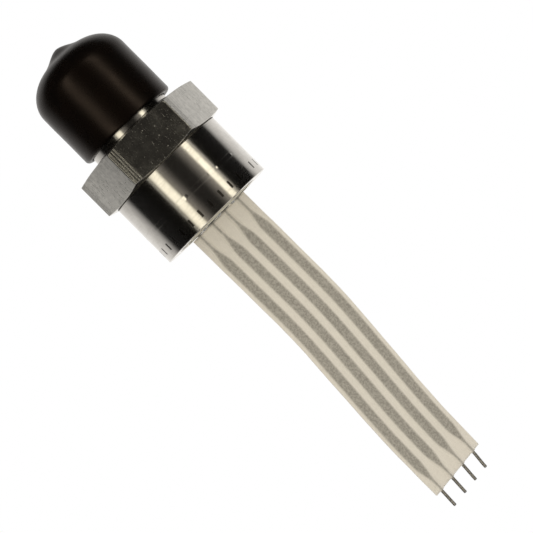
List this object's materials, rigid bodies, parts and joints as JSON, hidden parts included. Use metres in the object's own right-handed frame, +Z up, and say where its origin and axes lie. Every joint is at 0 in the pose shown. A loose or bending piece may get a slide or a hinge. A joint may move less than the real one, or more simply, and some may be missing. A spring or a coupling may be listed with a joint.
{
  "type": "media isolated pressure sensor",
  "caption": "Stainless steel pressure sensor with a capped male pipe port, a wrench hexagon, a round welded cell and a flat multi-wire jumper that ends in bare round pins.",
  "frame": {"origin": "centre of the pressure port's mouth, on the sensor's axis", "axes": "+X along the axis from the port to the flat jumper, +Z up and square to the hexagon flat that it rests on, +Y across the jumper"},
  "size_m": [0.0871, 0.022, 0.019],
  "materials": {
    "vinyl": "semi-gloss dipped vinyl",
    "stainless": "turned and lightly brushed stainless steel",
    "weld": "ground weld bead",
    "foil": "bright corrugated foil",
    "ceramic": "matt white alumina",
    "kovar": "satin nickel alloy",
    "seal_glass": "dark sealing glass",
    "gold": "gold plated",
    "borosilicate": "clear glass",
    "silicon": "polished silicon",
    "silicone": "white silicone adhesive",
    "ink": "fired silver-palladium ink",
    "resistor_ink": "fired resistor ink",
    "solder": "bright solder",
    "film": "ivory aramid paper laminate",
    "tinned_copper": "dull tinned copper"
  },
  "bodies": {
    "sensor": {"port_fitting": "stainless", "weld_seam": "weld", "cell_body": "stainless", "diaphragm": "foil", "diaphragm_ring": "stainless", "ceramic_spacer": "ceramic", "header": "kovar", "glass_beads": "seal_glass", "header_pins": "gold", "fill_ball": "stainless", "vent_tube": "stainless", "die_pedestal": "borosilicate", "sense_die": "silicon", "bond_wires": "gold", "board_adhesive": "silicone", "compensation_board": "ceramic", "board_tracks": "ink", "trim_resistors": "resistor_ink", "pin_joints": "solder", "lead_joints": "solder", "ribbon_top_film": "film", "ribbon_bottom_film": "film", "conductor_1": "tinned_copper", "conductor_2": "tinned_copper", "conductor_3": "tinned_copper", "conductor_4": "tinned_copper"},
    "cap": {"end_cap": "vinyl"}
  },
  "joints": [
    {"name": "cap_slide", "type": "slide", "parent": "sensor", "child": "cap", "axis": [-1, 0, 0], "range_m": [0, 0.02]}
  ]
}
